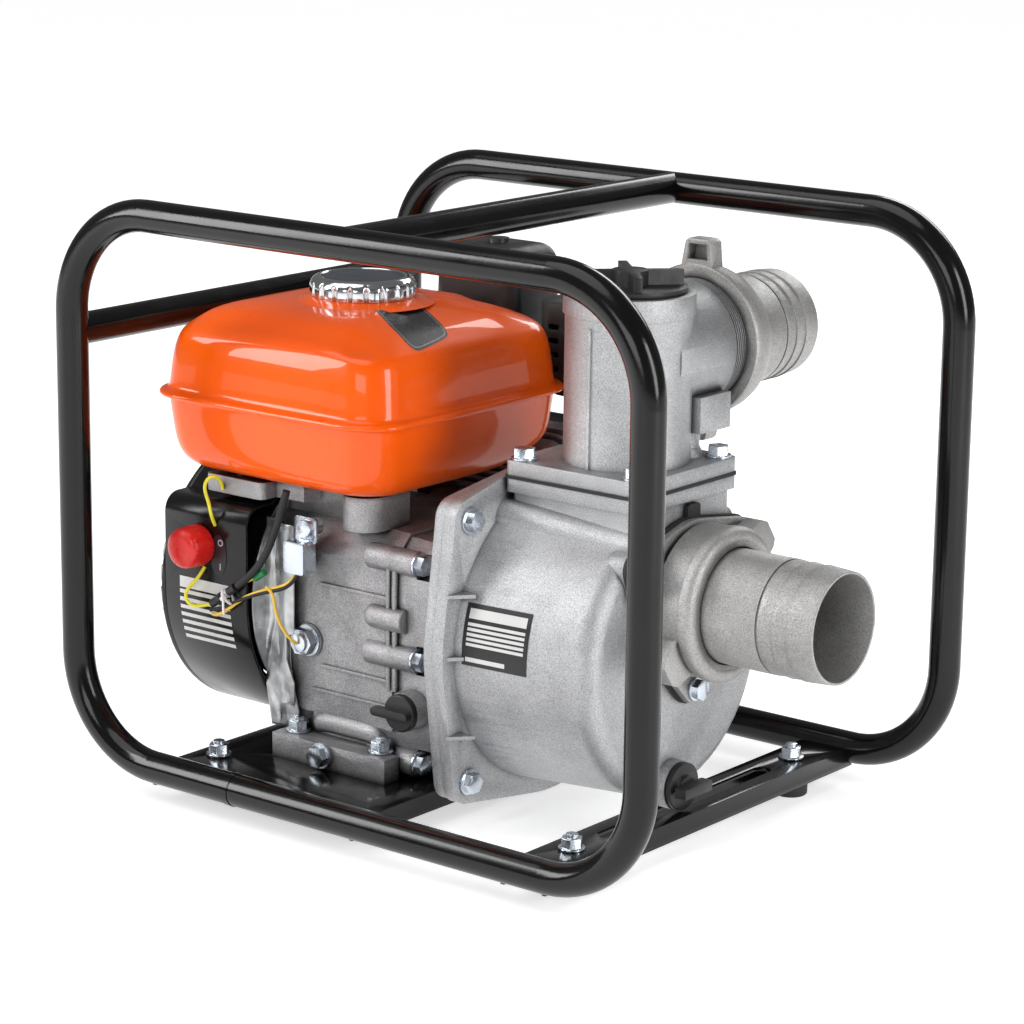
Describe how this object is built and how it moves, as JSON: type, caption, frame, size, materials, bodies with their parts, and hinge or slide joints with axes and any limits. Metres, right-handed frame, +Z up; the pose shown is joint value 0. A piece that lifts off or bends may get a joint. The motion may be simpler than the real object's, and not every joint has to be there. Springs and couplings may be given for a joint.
{
  "type": "portable water pump",
  "caption": "Engine-driven portable water pump in a tubular roll frame, with fuel tank, recoil starter, volute casing and hose couplings.",
  "frame": {"origin": "on the floor under the middle of the overall length and width", "axes": "+X from the fan cover towards the suction port, along the crankshaft; -Y is the side with the oil plug and stop switch; +Z up"},
  "size_m": [0.53, 0.373, 0.416],
  "materials": {
    "frame_black": "gloss powder coat",
    "cover_black": "gloss",
    "black_rubber": "matt",
    "cast_aluminium": "rough cast",
    "black_plastic": "satin",
    "machined_steel": "machined",
    "cast_iron": "as cast",
    "white_nylon": "satin",
    "rope": "braided",
    "galvanised_sheet": "galvanised",
    "red_plastic": "satin",
    "tank_orange": "gloss",
    "chrome": "polished",
    "muffler_steel": "heat-resistant matt",
    "zinc_steel": "bright zinc",
    "pump_silver": "silver paint on a casting",
    "raw_aluminium": "blasted casting",
    "lead_insulation": "satin"
  },
  "bodies": {
    "engine and frame": {"frame_near_loop": "frame_black", "frame_far_loop": "frame_black", "frame_cross_bars": "frame_black", "engine_base_plate": "frame_black", "front_channel": "frame_black", "rubber_feet": "black_rubber", "crankcase": "cast_aluminium", "side_cover": "cast_aluminium", "cylinder_head": "cast_aluminium", "rocker_cover": "frame_black", "spark_plug": "machined_steel", "spark_plug_cap": "black_rubber", "main_bearings": "machined_steel", "connecting_rod": "cast_aluminium", "piston": "cast_aluminium", "fan_cover": "cover_black", "recoil_housing": "cover_black", "starter_rope": "rope", "shroud_plate": "galvanised_sheet", "oil_alert_unit": "zinc_steel", "tank_bracket": "cast_aluminium", "fuel_tank": "tank_orange", "fuel_hose": "black_rubber", "carburettor": "cast_aluminium", "air_cleaner_base": "black_plastic", "air_cleaner_cover": "black_plastic", "muffler": "muffler_steel", "muffler_guard": "muffler_steel", "pump_bracket": "pump_silver", "pump_casing": "pump_silver", "flange_gaskets": "black_rubber", "suction_flange": "raw_aluminium", "discharge_elbow": "pump_silver", "volute": "cast_iron", "mechanical_seal": "machined_steel", "hex_bolts": "zinc_steel", "frame_bolts": "zinc_steel", "engine_leads": "lead_insulation"},
    "rotor": {"crankshaft": "machined_steel", "flywheel": "cast_iron", "cooling_fan": "black_plastic", "impeller": "cast_iron"},
    "starter grip": {"starter_handle": "black_plastic"},
    "starter reel": {"recoil_reel": "white_nylon"},
    "stop switch knob": {"switch_knob": "red_plastic"},
    "fuel cap gasket": {"fuel_cap_seal": "black_rubber"},
    "fuel filler cap": {"fuel_cap": "chrome"},
    "oil plug gasket": {"oil_plug_seal": "black_rubber"},
    "oil dipstick plug": {"oil_filler_plug": "black_plastic"},
    "drain gasket": {"drain_plug_seal": "black_rubber"},
    "drain plug": {"pump_drain_plug": "black_plastic"},
    "priming gasket": {"priming_cap_seal": "black_rubber"},
    "priming plug": {"priming_cap": "black_plastic"},
    "suction tail": {"suction_hose_tail": "raw_aluminium"},
    "suction union nut": {"suction_nut": "raw_aluminium"},
    "discharge tail": {"discharge_hose_tail": "raw_aluminium"},
    "discharge union nut": {"discharge_nut": "raw_aluminium"},
    "check valve": {"check_valve_flap": "black_rubber"},
    "throttle": {"throttle_lever": "zinc_steel"},
    "choke": {"choke_lever": "black_plastic"}
  },
  "joints": [
    {"name": "crank_turn", "type": "hinge", "parent": "engine and frame", "child": "rotor", "pos_m": [-0.012, -0.009, 0.13], "axis": [1, 0, 0], "continuous": true},
    {"name": "grip_pull", "type": "slide", "parent": "engine and frame", "child": "starter grip", "axis": [-0.8, 0, 0.6], "range_m": [0, 0.55], "deforming": ["starter_rope"]},
    {"name": "reel_turn", "type": "hinge", "parent": "engine and frame", "child": "starter reel", "pos_m": [-0.012, -0.009, 0.13], "axis": [1, 0, 0], "range_deg": [-880, 0]},
    {"name": "switch_turn", "type": "hinge", "parent": "engine and frame", "child": "stop switch knob", "pos_m": [-0.2, -0.1095, 0.167], "axis": [0, 1, 0], "range_deg": [-45, 0]},
    {"name": "fuel_cap_lift", "type": "slide", "parent": "engine and frame", "child": "fuel cap gasket", "axis": [0, 0, 1], "range_m": [0, 0.06]},
    {"name": "fuel_cap_turn", "type": "hinge", "parent": "fuel cap gasket", "child": "fuel filler cap", "pos_m": [-0.138, -0.009, 0.34], "axis": [0, 0, 1], "range_deg": [0, 90]},
    {"name": "oil_plug_out", "type": "slide", "parent": "engine and frame", "child": "oil plug gasket", "axis": [0, -1, 0], "range_m": [0, 0.018]},
    {"name": "oil_plug_turn", "type": "hinge", "parent": "oil plug gasket", "child": "oil dipstick plug", "pos_m": [-0.028, -0.097, 0.076], "axis": [0, -1, 0], "range_deg": [0, 2162]},
    {"name": "drain_plug_out", "type": "slide", "parent": "engine and frame", "child": "drain gasket", "axis": [1, 0, 0], "range_m": [0, 0.016]},
    {"name": "drain_plug_turn", "type": "hinge", "parent": "drain gasket", "child": "drain plug", "pos_m": [0.148, -0.018, 0.043], "axis": [1, 0, 0], "range_deg": [0, 2882]},
    {"name": "priming_plug_lift", "type": "slide", "parent": "engine and frame", "child": "priming gasket", "axis": [0, 0, 1], "range_m": [0, 0.012]},
    {"name": "priming_plug_turn", "type": "hinge", "parent": "priming gasket", "child": "priming plug", "pos_m": [0.091, -0.008, 0.368], "axis": [0, 0, 1], "range_deg": [0, 1442]},
    {"name": "suction_tail_out", "type": "slide", "parent": "engine and frame", "child": "suction tail", "axis": [1, 0, 0], "range_m": [0, 0.016]},
    {"name": "suction_nut_turn", "type": "hinge", "parent": "suction tail", "child": "suction union nut", "pos_m": [0.173, -0.009, 0.17], "axis": [1, 0, 0], "range_deg": [0, 1442]},
    {"name": "discharge_tail_out", "type": "slide", "parent": "engine and frame", "child": "discharge tail", "axis": [0, 1, 0], "range_m": [0, 0.014]},
    {"name": "discharge_nut_turn", "type": "hinge", "parent": "discharge tail", "child": "discharge union nut", "pos_m": [0.091, 0.085, 0.323], "axis": [0, 1, 0], "range_deg": [0, 1262]},
    {"name": "flap_swing", "type": "hinge", "parent": "engine and frame", "child": "check valve", "pos_m": [0.1225, -0.009, 0.209], "axis": [0, 1, 0], "range_deg": [0, 15]},
    {"name": "throttle_turn", "type": "hinge", "parent": "engine and frame", "child": "throttle", "pos_m": [-0.146, 0.124, 0.221], "axis": [0, 0, 1], "range_deg": [0, 30]},
    {"name": "choke_turn", "type": "hinge", "parent": "engine and frame", "child": "choke", "pos_m": [-0.157, 0.1485, 0.195], "axis": [0, 1, 0], "range_deg": [0, 40]}
  ],
  "couplings": [
    {"joint": "reel_turn", "follows": "grip_pull", "rad_per_m": -27.778},
    {"joint": "oil_plug_turn", "follows": "oil_plug_out", "rad_per_m": 2094.4},
    {"joint": "drain_plug_turn", "follows": "drain_plug_out", "rad_per_m": 3141.6},
    {"joint": "priming_plug_turn", "follows": "priming_plug_lift", "rad_per_m": 2094.4},
    {"joint": "suction_nut_turn", "follows": "suction_tail_out", "rad_per_m": 1570.8},
    {"joint": "discharge_nut_turn", "follows": "discharge_tail_out", "rad_per_m": 1570.8}
  ]
}
